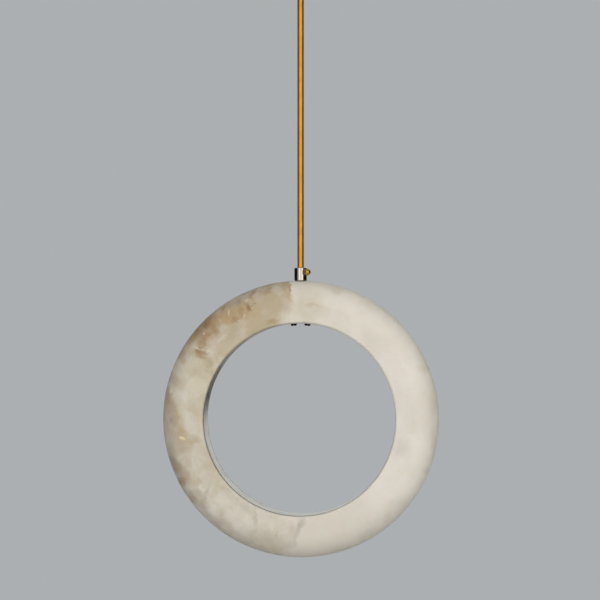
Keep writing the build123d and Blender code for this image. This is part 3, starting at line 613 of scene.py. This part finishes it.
@dataclass(frozen=True)
class Alabaster(Finish):
    """Honed alabaster: plain cream on the right, tan with rust veins and grey clouds on the left.

    Each bend is bends a metre and how far a point moves, in metres. The steps give a ramp over the height
    above the ring's centre, or over the way to the right, in metres. The clouds are clouds a metre, two
    levels of noise and detail, and the lines are lines a metre, detail, roughness and distortion.
    """

    bends: tuple[Pair, ...] = ((40.0, 0.010), (130.0, 0.009), (420.0, 0.004))
    milk_step: Pair = (0.09, 0.02)
    low_step: tuple[float, ...] = (-0.07, -0.125, 0.0, 0.75)
    cool_step: Pair = (-0.07, -0.11)
    tan_step: Pair = (0.05, 0.1)
    left_step: Pair = (0.01, -0.04)
    border_place: tuple[float, ...] = (0.104, 0.134, -0.019, -0.0084)
    border_width: tuple[float, ...] = (0.112, 0.136, 0.011, 0.0022)
    field_cloud: tuple[float, ...] = (22.0, 0.4, 0.66)
    tan_cloud: tuple[float, ...] = (75.0, 0.42, 0.7, 4.0)
    cream_cloud: tuple[float, ...] = (48.0, 0.5, 0.75, 4.0)
    crack_cloud: tuple[float, ...] = (52.0, 0.57, 0.66)
    hair_noise: tuple[float, ...] = (34.0, 3.0, 0.55, 0.6)
    crack_noise: tuple[float, ...] = (70.0, 2.0, 0.5, 0.8)

    def draw(self, paint: Paint) -> None:
        """Draws the stone's fields, patches, veins and cracks, and its honed surface.

        Args:
            paint: the material's nodes.
        """
        local = paint.vector("SUBTRACT", paint.place(), tuple(RING_CENTRE))
        bent = local
        for scale, reach in self.bends:
            bent = self.bend(paint, bent, scale, reach)
        parts = paint.axes(bent)
        colour = self.fields(paint, bent, parts[0], parts[2])
        for patch in STONE_PATCHES:
            centre, size = (tuple(v * MM for v in measures) for measures in (patch.place, patch.size))
            mask = paint.effect(Effect.PATCH, position=bent, centre=centre, size=size,
                                turn=math.radians(patch.turn), soft=patch.soft, strength=patch.strength)[0]
            colour = paint.mix(mask, colour, patch.tone)
        left = paint.ramp(parts[0], *self.left_step)
        height, shade = paint.grain(local, scale=700.0, slow=45.0)
        pits = paint.noise(local, scale=260.0, detail=4.0, roughness=0.6)[0]
        fine = paint.bump(height, depth=0.05 * MM, strength=0.25)
        paint.surface(
            base_color=self.fine_detail(paint, local, bent, left, colour),
            roughness=paint.ramp(shade, 0, 1, out_low=0.48, out_high=0.64),
            normal=paint.bump(paint.ramp(pits, 0.30, 0.42), depth=0.12 * MM, strength=0.35, normal=fine),
            subsurface_weight=0.18, subsurface_radius=(1.0, 0.72, 0.45), subsurface_scale=0.006)
        paint.shader.inputs["IOR"].default_value = 1.45

    @staticmethod
    def bend(paint: Paint, position: object, scale: float, reach: float) -> Socket:
        """Bends a position by noise, so that every patch gets an uneven edge.

        Args:
            paint: the material's nodes.
            position: the position to bend.
            scale: bends a metre.
            reach: how far a point moves at most, in metres.

        Returns:
            The bent position.
        """
        noise = paint.noise(position, scale, detail=2.0)["Color"]
        offset = paint.vector("SUBTRACT", noise, (0.5, 0.5, 0.5))
        scaled = paint.add("ShaderNodeVectorMath", {0: offset}, operation="SCALE", scale=reach)
        return paint.vector("ADD", position, scaled.outputs[0])

    def fields(self, paint: Paint, bent: Socket, across: Socket, up: Socket) -> Socket:
        """The large fields: cream right, beige low left and tan high left.

        Args:
            paint: the material's nodes.
            bent: the bent position.
            across: its distance to the right.
            up: its height over the ring's centre.

        Returns:
            The colour of the fields.
        """
        cloud = paint.cloud(bent, *self.field_cloud)
        middle = paint.mix(paint.ramp(up, *self.milk_step), Tone.CREAM, Tone.MILK)
        field = paint.mix(paint.ramp(up, *self.low_step), middle, Tone.SOFT_CREAM)
        right = paint.tinted(field, cloud, 0.5, Tone.SOFT_CREAM)
        cool = paint.mix(paint.ramp(up, *self.cool_step), Tone.PALE, Tone.BEIGE)
        lower = paint.mix(cloud, Tone.SOFT_CREAM, cool)
        upper = paint.mix(cloud, Tone.SAND, Tone.TAN)
        left = paint.mix(paint.ramp(up, *self.tan_step), lower, upper)
        away = paint.maths("SUBTRACT", across, paint.ramp(up, *self.border_place))
        side = paint.maths("DIVIDE", away, paint.ramp(up, *self.border_width))
        return paint.mix(paint.ramp(side, -1, 1), left, right)

    def fine_detail(self, paint: Paint, local: Socket, bent: Socket, left: Socket, colour: Socket) -> Socket:
        """Small clouds, hair veins and fine white cracks, stronger on the left.

        Args:
            paint: the material's nodes.
            local: the position from the ring's centre.
            bent: the bent position.
            left: 1 on the left side and 0 on the right.
            colour: the colour so far.

        Returns:
            The finished colour.
        """
        share = paint.maths("ADD", paint.times(left, 0.3), 0.06)
        colour = paint.tinted(colour, paint.cloud(bent, *self.tan_cloud), share, Tone.TAN)
        colour = paint.tinted(colour, paint.cloud(local, *self.cream_cloud), share, Tone.CREAM)
        hair = paint.line(paint.noise(bent, *self.hair_noise)[0], width=0.02, peak=0.6)
        colour = paint.tinted(colour, hair, share, Tone.BROWN)
        crack = paint.line(paint.noise(bent, *self.crack_noise)[0], width=0.014, peak=0.4)
        rare = paint.times(crack, paint.cloud(local, *self.crack_cloud))
        return paint.tinted(colour, rare, left, Tone.CRYSTAL)


@dataclass(frozen=True)
class PolishedMetal(Finish):
    """Polished plate with faint rubbing marks, which make up a share of its change in shade."""

    metallic: float = 1.0
    depth: float = 0.004
    marks: float = 0.5
    light: Pair = (1.0, 0.88)
    rough: Pair = (0.75, 1.35)

    def draw(self, paint: Paint) -> None:
        """Draws the rubbing marks.

        Args:
            paint: the material's nodes.
        """
        spot = paint.place()
        height, lines = paint.streaks(spot, stretch=(300.0, 300.0, 2600.0))
        smear = paint.grain(spot, scale=1500.0, slow=140.0)[1]
        both = paint.maths("ADD", paint.times(lines, self.marks), paint.times(smear, 1 - self.marks))
        self.vary(paint, both, self.light, self.rough)
        paint.surface(normal=paint.bump(height, self.depth * MM, strength=0.5))


@dataclass(frozen=True)
class BrushedMetal(Finish):
    """Satin metal with brushing along one way."""

    metallic: float = 1.0
    depth: float = 0.01
    spread: float = 0.16
    stretch: Spot = (60.0, 5200.0, 60.0)
    rough: Pair = (1.2, 0.85)

    def draw(self, paint: Paint) -> None:
        """Draws the brushing and a slow change of tone.

        Args:
            paint: the material's nodes.
        """
        spot = paint.place()
        height, lines = paint.streaks(spot, self.stretch)
        slow = paint.grain(spot, scale=1200.0, slow=70.0)[1]
        shade = paint.times(paint.maths("ADD", lines, slow), 0.5)
        self.vary(paint, shade, (1 - self.spread, 1.0), self.rough)
        paint.surface(normal=paint.bump(height, self.depth * MM, strength=0.6))


@dataclass(frozen=True)
class BraidedCord(Finish):
    """Satin textile braid over the cord's core, on a map of turns and pitches, with shade painted into its
    grooves.
    """

    colour: Tone = Tone.GOLD_THREAD
    shadow: Tone = Tone.GROOVE_SHADE_RED
    strands: float = 6.0
    metallic: float = 0.85
    dimmest: float = 0.86
    groove_shade_share: float = 0.75

    def draw(self, paint: Paint) -> None:
        """Draws the braid, its threads, and painted shade in its grooves.

        Args:
            paint: the material's nodes.
        """
        braid = paint.effect(Effect.BRAID, position=paint.place("UV"), strands=self.strands)
        height, shade = paint.grain(paint.place(), scale=3000.0, slow=90.0)
        silk = paint.mix(shade, self.colour.dimmed(self.dimmest), self.colour)
        threads = paint.bump(height, depth=0.03 * MM, strength=0.3)
        # the grooves are tinted towards dark red-brown: painted shade, not a thread colour
        paint.surface(
            base_color=paint.tinted(silk, braid["Groove"], self.groove_shade_share, self.shadow),
            roughness=paint.ramp(braid["Height"], 0, 1, out_low=0.5, out_high=0.26),
            normal=paint.bump(braid["Height"], depth=0.2 * MM, strength=0.35, normal=threads))


@dataclass(frozen=True)
class CircuitLacquer(Finish):
    """Lacquered board with copper tracks showing through. Its scale is tracks a metre."""

    tracks: Tone = Tone.BOARD_COPPER
    scale: float = 420.0

    def draw(self, paint: Paint) -> None:
        """Draws square tracks and the lacquer's grain.

        Args:
            paint: the material's nodes.
        """
        spot = paint.place()
        cells = paint.add("ShaderNodeTexVoronoi", vector=spot, scale=self.scale, distance="CHEBYCHEV")
        edge = paint.ramp(cells.outputs["Distance"], low=0.42, high=0.5)
        shade = paint.grain(spot, scale=2400.0, slow=200.0)[1]
        colour = paint.tinted(self.colour, edge, 0.5, self.tracks)
        paint.surface(base_color=paint.darkened(colour, shade, least=0.86),
                      normal=paint.bump(edge, depth=0.03 * MM, strength=0.4))


@dataclass(frozen=True)
class StripedWire(Finish):
    """Wire insulation with a second colour in a lengthwise stripe."""

    stripe: Tone = Tone.YELLOW_WIRE

    def draw(self, paint: Paint) -> None:
        """Draws the stripe by the side of the wire that faces up.

        Args:
            paint: the material's nodes.
        """
        band = paint.ramp(paint.axes(paint.place("Normal"))[2], low=0.42, high=0.5)
        height, shade = paint.grain(paint.place(), scale=1800.0, slow=160.0)
        colour = paint.mix(band, self.colour, self.stripe)
        paint.surface(base_color=paint.darkened(colour, shade, least=0.88),
                      normal=paint.bump(height, depth=0.01 * MM, strength=0.4))


SLOT_FINISHES: dict[str, Finish] = {
    "alabaster": Alabaster("honed alabaster"),
    "satin_hoop": BrushedMetal("satin hoop", Tone.HOOP, 0.3, depth=0.003),
    "nickel": PolishedMetal("polished nickel", Tone.NICKEL, 0.12),
    "brass": PolishedMetal("polished brass", Tone.BRASS, 0.16, marks=0.3),
    "gold_cord": BraidedCord("gold braid"),
    "steel": BrushedMetal("zinc plated steel", Tone.ZINC, 0.38, stretch=(900.0, 120.0, 900.0)),
    "nylon": Finish("natural nylon", Tone.NYLON, 0.45),
    "fibre": Finish("fibre washer", Tone.FIBRE, 0.8, scale=2600.0, depth=0.06, spread=0.25),
    "white_plastic": Finish("moulded white plastic", Tone.PLASTIC_WHITE, 0.5),
    "foam": Finish("closed-cell foam", Tone.FOAM, 0.85, scale=2200.0, depth=0.16, spread=0.12),
    "circuit_board": CircuitLacquer("circuit lacquer", Tone.BOARD_GREEN, 0.35),
    "light_tape": CircuitLacquer("light tape", Tone.TAPE_WHITE, 0.45, scale=300.0),
    "chips": Finish("phosphor", Tone.PHOSPHOR, 0.3, scale=3200.0, depth=0.02, spread=0.1),
    "resistor_black": Finish("black resin", Tone.BLACK, 0.4, scale=3200.0, depth=0.01, spread=0.2),
    # black seal in the joint between stone and hoop; its black also stands in for the joint's shadow,
    # painted shade
    "seal_black": Finish("black silicone", Tone.BLACK, 0.6, scale=1600.0, depth=0.01, spread=0.2),
    "lead_red": Finish("red wire", Tone.RED, 0.32, scale=1800.0, depth=0.01, spread=0.1),
    "lead_brown": Finish("brown wire", Tone.BROWN_WIRE, 0.32, scale=1800.0, depth=0.01, spread=0.1),
    "lead_green": StripedWire("green and yellow wire", Tone.GREEN_WIRE, 0.32),
}

NODE_FINISHES: dict[str, Finish] = {
    "hoop_screws": BrushedMetal("blackened steel", Tone.BLACKENED, 0.42, stretch=(900.0, 120.0, 900.0)),
}


# Objects


def link(name: str, data: bpy.types.ID) -> bpy.types.Object:
    """Adds an object to the scene.

    Args:
        name: its name.
        data: its mesh, lamp or camera.

    Returns:
        The object.
    """
    added = bpy.data.objects.new(name, data)
    bpy.context.scene.collection.objects.link(added)
    return added


def aim(pointer: bpy.types.Object, place: Vector, way: Vector) -> None:
    """Puts a lamp or a camera in its place.

    Args:
        pointer: the lamp or the camera.
        place: where it stands.
        way: the way it looks.
    """
    pointer.location = place
    pointer.rotation_mode = "QUATERNION"
    pointer.rotation_quaternion = way.to_track_quat("-Z", "Y")


def skin(name: str, bm: bmesh.types.BMesh, material: bpy.types.Material) -> bpy.types.Object:
    """Adds a shape to the scene.

    Args:
        name: its name.
        bm: the shape, which is freed.
        material: its material.

    Returns:
        The object.
    """
    mesh = bpy.data.meshes.new(name)
    bm.to_mesh(mesh)
    bm.free()
    mesh.materials.append(material)
    return link(name, mesh)


# The picture


@dataclass
class PhotoCamera:
    """The camera at the photograph's viewing angle: level, a little right of the ring's axis."""

    azimuth: float = 4.66
    distance: float = 2.8
    above_ring: float = 0.129
    picture_width: float = 0.6509
    sideways: float = -0.0007
    sensor: float = 36.0
    clip: Pair = (0.05, 200.0)

    def build(self) -> None:
        """Makes the camera and sets it as the scene's."""
        data = bpy.data.cameras.new("camera")
        data.sensor_width = self.sensor
        data.lens = self.sensor * self.distance / self.picture_width
        data.clip_start, data.clip_end = self.clip
        camera = link("camera", data)
        turn = math.radians(self.azimuth)
        back = Vector((math.sin(turn), -math.cos(turn), 0))
        right = Vector((math.cos(turn), math.sin(turn), 0))
        target = RING_CENTRE + Vector((0, 0, self.above_ring)) + right * self.sideways
        aim(camera, target + back * self.distance, -back)
        bpy.context.scene.camera = camera
        log.info("camera: %.1f mm lens, %.2f m from the ring", data.lens, self.distance)


@dataclass(frozen=True)
class Lamp:
    """A soft square lamp: place, target and size in metres, power in watts.

    A lamp lights every surface and shows in none. A card lights nothing and only shows in gloss.
    """

    name: str
    place: Spot
    target: Spot
    width: float
    height: float
    power: float
    colour: Spot = (1.0, 1.0, 1.0)
    card: bool = False

    def build(self) -> None:
        """Makes the lamp, out of the camera's sight."""
        data = bpy.data.lights.new(self.name, "AREA")
        data.shape = "RECTANGLE"
        data.size, data.size_y = self.width, self.height
        data.energy = self.power
        data.color = self.colour
        lamp = link(self.name, data)
        lamp.visible_camera = False
        lamp.visible_glossy = self.card
        lamp.visible_diffuse = not self.card
        aim(lamp, Vector(self.place), Vector(self.target) - Vector(self.place))
        log.info("lamp %s: %.0f W", self.name, self.power)


@dataclass(frozen=True)
class Flag:
    """A black panel that only polished surfaces show.

    It lies flat, with its half length along X and its half width along Y, and is stood up by a quarter
    turn about its hinge.
    """

    name: str
    place: Spot
    half: Pair
    hinge: str

    def build(self, material: bpy.types.Material) -> None:
        """Makes the panel.

        Args:
            material: its black cloth.
        """
        bm = bmesh.new()
        bmesh.ops.create_grid(bm, x_segments=1, y_segments=1, size=1.0)
        bmesh.ops.scale(bm, vec=(*self.half, 1), verts=bm.verts)
        stood = Matrix.Translation(self.place) @ Matrix.Rotation(math.radians(90), 4, self.hinge)
        bmesh.ops.transform(bm, matrix=stood, verts=bm.verts)
        panel = skin(self.name, bm, material)
        panel.visible_camera = panel.visible_diffuse = panel.visible_shadow = False
        panel.visible_transmission = panel.visible_volume_scatter = False


@dataclass
class Studio:
    """Plain pale floor, even backdrop and soft lamps."""

    floor_level: float = -1.05
    floor_radius: float = 40.0
    floor_speck: Colour = (0.64, 0.64, 0.63, 1)
    fade: Pair = (1.1, 2.6)
    fill: float = 0.28
    fill_colour: Colour = (0.97, 1, 0.99, 1)
    flag_cloth: tuple[Colour, Colour] = ((0.01, 0.01, 0.011, 1), (0.02, 0.02, 0.021, 1))
    lamps: tuple[Lamp, ...] = (
        Lamp("key", (0.95, -2.45, 0.0), (0.0, 0.0, -0.5), 0.9, 1.4, 29.5, (1.0, 0.98, 0.965)),
        Lamp("left fill", (-1.2, -2.5, 0.0), (0.0, 0.0, -0.5), 0.6, 1.2, 10.0),
        Lamp("top", (0.1, -1.6, 1.3), (0.0, 0.0, -0.45), 1.2, 1.2, 9.0),
        Lamp("back", (0.3, 2.9, -0.3), (0.0, 0.0, -0.45), 1.4, 1.4, 32.0),
        Lamp("right card", (1.72, -2.4, 0.0), (1.72, 0.0, 0.0), 1.2, 1.8, 9.0, (1.0, 0.96, 0.9), True),
        Lamp("left card", (-0.94, -2.4, 0.0), (-0.94, 0.0, 0.0), 0.9, 1.8, 6.6, (1.0, 0.96, 0.9), True),
        Lamp("middle card", (0.32, -2.42, 0.0), (0.32, 0.0, 0.0), 1.6, 1.8, 6.6, (1.0, 0.94, 0.84), True),
        Lamp("high card", (0.0, 2.9, 0.035), (0.0, 0.0, 0.035), 2.4, 1.43, 3.4, card=True),
    )
    flags: tuple[Flag, ...] = (
        Flag("left_flag", (-1.9, 1.0, -0.4), (1.6, 2.3), "Y"),
        Flag("right_flag", (1.9, 1.0, -0.4), (1.6, 2.3), "Y"),
        Flag("low_flag", (0.0, 2.85, -1.45), (1.5, 0.75), "X"),
    )

    def build(self) -> None:
        """Makes the world, the floor, the lamps and the flags."""
        self._world()
        self._floor()
        for lamp in self.lamps:
            lamp.build()
        self._flags()
        bpy.context.scene.view_settings.view_transform = "Standard"

    def _world(self) -> None:
        """Even backdrop colour where rays show it, and a soft neutral fill for everything else."""
        world = bpy.data.worlds.new("backdrop")
        sheet = open_sheet(world)
        rays = sheet.add("ShaderNodeLightPath").outputs
        seen = sheet.maths("MAXIMUM", rays["Is Camera Ray"], rays["Is Glossy Ray"])
        seen = sheet.maths("MAXIMUM", seen, rays["Is Transmission Ray"])
        fill = sheet.add("ShaderNodeBackground", color=self.fill_colour, strength=self.fill)
        shown = sheet.add("ShaderNodeBackground", color=Tone.BACKDROP, strength=1.0)
        mixed = sheet.blend(seen, fill.outputs[0], shown.outputs[0])
        sheet.add("ShaderNodeOutputWorld", surface=mixed)
        bpy.context.scene.world = world

    def _flags(self) -> None:
        """Black flags left, right and low behind."""
        material = bpy.data.materials.new("black flag")
        sheet = open_sheet(material)
        cloth = sheet.mix(sheet.noise(sheet.place(), 40.0)[0], *self.flag_cloth)
        shader = sheet.add("ShaderNodeBsdfDiffuse", color=cloth)
        sheet.add("ShaderNodeOutputMaterial", surface=shader.outputs[0])
        for flag in self.flags:
            flag.build(material)

    def _floor(self) -> None:
        """Round floor that turns into the backdrop's colour with distance, open from below."""
        material = bpy.data.materials.new("studio floor")
        sheet = open_sheet(material)
        spot = sheet.place()
        grain = sheet.ramp(sheet.noise(spot, 30.0)[0], low=0.3, high=0.7)
        shader = sheet.add("ShaderNodeBsdfPrincipled", roughness=0.8,
                           base_color=sheet.mix(grain, Tone.FLOOR, self.floor_speck))
        away = sheet.vector("LENGTH", sheet.vector("MULTIPLY", spot, (1, 1, 0)))
        glow = sheet.add("ShaderNodeEmission", color=Tone.BACKDROP, strength=1.0)
        top = sheet.blend(sheet.ramp(away, *self.fade), shader.outputs[0], glow.outputs[0])
        under = sheet.add("ShaderNodeNewGeometry").outputs["Backfacing"]
        clear = sheet.add("ShaderNodeBsdfTransparent")
        sheet.add("ShaderNodeOutputMaterial", surface=sheet.blend(under, top, clear.outputs[0]))
        bm = bmesh.new()
        bmesh.ops.create_circle(bm, cap_ends=True, segments=96, radius=self.floor_radius,
                                matrix=Matrix.Translation((0, 0, self.floor_level)))
        skin("floor", bm, material)
        log.info("floor and backdrop")


# The cord


@dataclass(frozen=True)
class CordStretch:
    """One stretch of the cord: its heights from the top down, and the two bodies it bends across."""

    name: str
    heights: Spot
    bodies: tuple[str, str]
    bend: Pair
    replaces: tuple[str, ...]

    @property
    def length(self) -> float:
        """Its length in metres."""
        return self.heights[0] - self.heights[-1]


@dataclass
class TextileCord:
    """The straight textile cord from the ceiling rose to the ring, held taut by the ring's weight."""

    diameter: float = 0.007
    sides: int = 32
    steps: int = 32
    braid_pitch: float = 0.0052
    stretches: tuple[CordStretch, ...] = (
        CordStretch("cord_at_rose", (-0.0223, -0.056, -0.076), ("root", "cord_upper"),
                    (-0.047, -0.065), ("cord_upper_tail", "cord_upper_bend")),
        CordStretch("cord_upper_run", (-0.076, -0.096, -0.2025), ("cord_upper", "cord_middle"),
                    (-0.082, -0.110), ("cord_drop",)),
        CordStretch("cord_lower_run", (-0.2025, -0.309, -0.329), ("cord_middle", "cord_lower"),
                    (-0.295, -0.323), ()),
        CordStretch("cord_at_ring", (-0.329, -0.349, -0.391), ("cord_lower", "grip"),
                    (-0.340, -0.358), ("cord_lower_bend", "cord_lower_tail")),
    )

    def build(self, material: bpy.types.Material) -> None:
        """Args:
            material: the braid.
        """
        for stretch in self.stretches:
            line = self.centreline(stretch)
            piece = self.tube(stretch.name, line, material)
            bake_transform(piece)
            if stretch.replaces:
                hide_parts(*stretch.replaces)
            log.info("%s: %.1f mm", stretch.name, stretch.length / MM)

    def centreline(self, stretch: CordStretch) -> list[Spot]:
        """Points along a stretch, read from its smooth curve.

        Args:
            stretch: the stretch.

        Returns:
            The points, from the top down.
        """
        curve = bpy.data.curves.new(stretch.name + "_line", "CURVE")
        curve.dimensions = "3D"
        curve.resolution_u = self.steps
        spline = curve.splines.new("NURBS")
        spline.points.add(len(stretch.heights) - 1)
        for point, height in zip(spline.points, stretch.heights):
            point.co = (0, 0, height, 1)
        spline.order_u = 3
        spline.use_endpoint_u = True
        spline.resolution_u = self.steps
        holder = bpy.data.objects.new(stretch.name + "_line", curve)
        line = bpy.data.meshes.new_from_object(holder)
        points = [tuple(v.co) for v in line.vertices]
        bpy.data.objects.remove(holder)
        bpy.data.curves.remove(curve)
        bpy.data.meshes.remove(line)
        return points

    def tube(self, name: str, line: list[Spot], material: bpy.types.Material) -> bpy.types.Object:
        """Skins a stretch with a closed round tube that is mapped in turns and braid pitches.

        Args:
            name: the piece's name.
            line: its centreline.
            material: the braid.

        Returns:
            The piece.
        """
        bm = bmesh.new()
        bmesh.ops.create_circle(bm, cap_ends=True, segments=self.sides, radius=self.diameter / 2,
                                matrix=Matrix.Translation(line[0]))
        edges = list(bm.edges)
        rims = list(edges)
        for here, there in zip(line, line[1:]):
            grown = bmesh.ops.extrude_edge_only(bm, edges=edges)["geom"]
            ring = {g for g in grown if isinstance(g, bmesh.types.BMVert)}
            edges = [g for g in grown if isinstance(g, bmesh.types.BMEdge) and set(g.verts) <= ring]
            bmesh.ops.translate(bm, verts=list(ring), vec=Vector(there) - Vector(here))
        rims += edges
        bmesh.ops.contextual_create(bm, geom=edges)
        bmesh.ops.recalc_face_normals(bm, faces=bm.faces)
        layer = bm.loops.layers.uv.new("turns")
        for face in bm.faces:
            face.smooth = True
            turns = [math.atan2(loop.vert.co.y, loop.vert.co.x) / math.tau for loop in face.loops]
            over_the_seam = max(turns) - min(turns) > 0.5
            for loop, turn in zip(face.loops, turns):
                wrapped = turn + 1 if over_the_seam and turn < 0 else turn
                loop[layer].uv = (wrapped, loop.vert.co.z / self.braid_pitch)
        for edge in rims:
            edge.smooth = False
        return skin(name, bm, material)


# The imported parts


@dataclass
class DressedFrame:
    """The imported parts, each with the finish of its material slot, or with its node's own."""

    finishes: dict[str, bpy.types.Material]
    own: dict[str, bpy.types.Material]

    def dress(self) -> None:
        """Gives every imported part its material."""
        for row in frame["record"]["subparts"]:
            part = frame["nodes"][row["node"]]
            material = self.own.get(row["node"], self.finishes[row["material_slot"]])
            for slot in part.material_slots:
                slot.material = material
            log.info("%s: %s", row["node"], material.name)


def main() -> None:
    """Builds the picture and the pieces, in order."""
    logging.basicConfig(level=logging.INFO, format="%(name)s: %(message)s")
    PhotoCamera().build()
    effects = SharedEffects()
    finishes = {slot: finish.build(effects) for slot, finish in SLOT_FINISHES.items()}
    TextileCord().build(finishes["gold_cord"])
    own = {node: finish.build(effects) for node, finish in NODE_FINISHES.items()}
    DressedFrame(finishes, own).dress()
    Studio().build()


if __name__ == "__main__":
    main()
